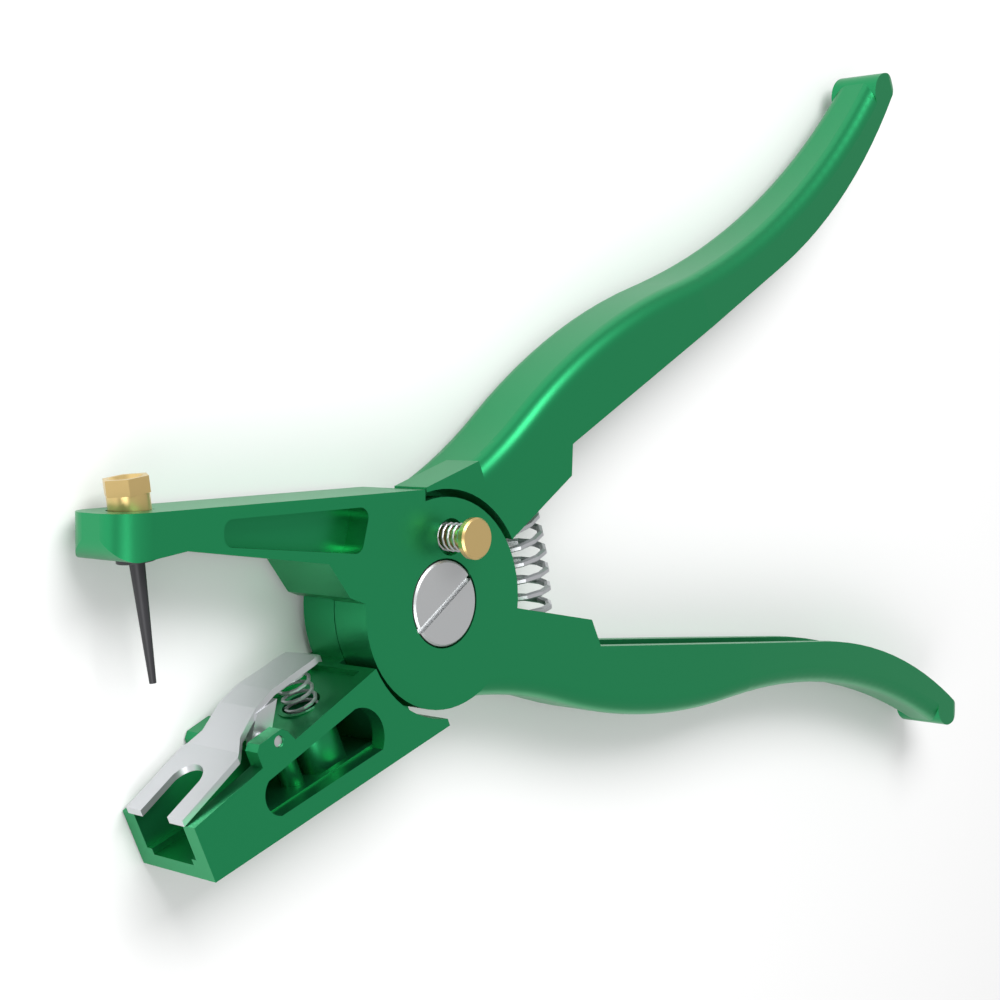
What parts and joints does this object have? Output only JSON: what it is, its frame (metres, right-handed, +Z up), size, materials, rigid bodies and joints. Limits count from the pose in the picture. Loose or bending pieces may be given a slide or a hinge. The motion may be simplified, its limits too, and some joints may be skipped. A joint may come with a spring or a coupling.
{
  "type": "ear tag applicator",
  "caption": "Hand-held ear tag applicator: two green cast handles crossed at a slotted pivot screw, a needle jaw, a sprung tag clip and a brass lock button.",
  "frame": {"origin": "on the pivot axis, in the plane the tool lies on (the far face of the pivot nut)", "axes": "+Z up along the pivot axis, away from the surface the tool lies on; +X from the jaws towards the handles, along the upper casting; +Y from the lower jaw towards the needle's nose"},
  "size_m": [0.26, 0.1608, 0.0255],
  "materials": {
    "green_paint": "glossy green paint over a die casting",
    "zinc_steel": "zinc plated, satin",
    "zinc_sheet": "zinc plated sheet, mottled",
    "black_steel": "blackened, polished",
    "brass": "turned",
    "spring_steel": "drawn wire"
  },
  "bodies": {
    "upper_jaw": {"upper_jaw_frame": "green_paint", "pivot_screw": "zinc_steel", "pivot_nut": "zinc_steel", "needle": "black_steel", "needle_nut": "brass", "return_spring": "spring_steel", "lock_spring": "spring_steel"},
    "lower_jaw": {"lower_jaw_frame": "green_paint", "clip_pin": "zinc_steel", "clip_spring": "spring_steel"},
    "clip": {"tag_clip": "zinc_sheet"},
    "lock": {"lock_button": "brass", "lock_ring": "spring_steel"}
  },
  "joints": [
    {"name": "handle_squeeze", "type": "hinge", "parent": "upper_jaw", "child": "lower_jaw", "pos_m": [0, 0, 0.01], "axis": [0, 0, -1], "range_deg": [0, 25], "stiffness_Nm_per_rad": 2, "springref_deg": -17.19, "deforming": ["return_spring"]},
    {"name": "clip_hinge", "type": "hinge", "parent": "lower_jaw", "child": "clip", "pos_m": [-0.04116, -0.0204, 0.01], "axis": [0, 0, -1], "range_deg": [0, 10], "stiffness_Nm_per_rad": 0.6, "springref_deg": -17.19, "deforming": ["clip_spring"]},
    {"name": "lock_button_slide", "type": "slide", "parent": "upper_jaw", "child": "lock", "axis": [0, 0, -1], "range_m": [0, 0.003], "stiffness_N_per_m": 400, "springref_m": -0.003, "deforming": ["lock_spring"]}
  ]
}
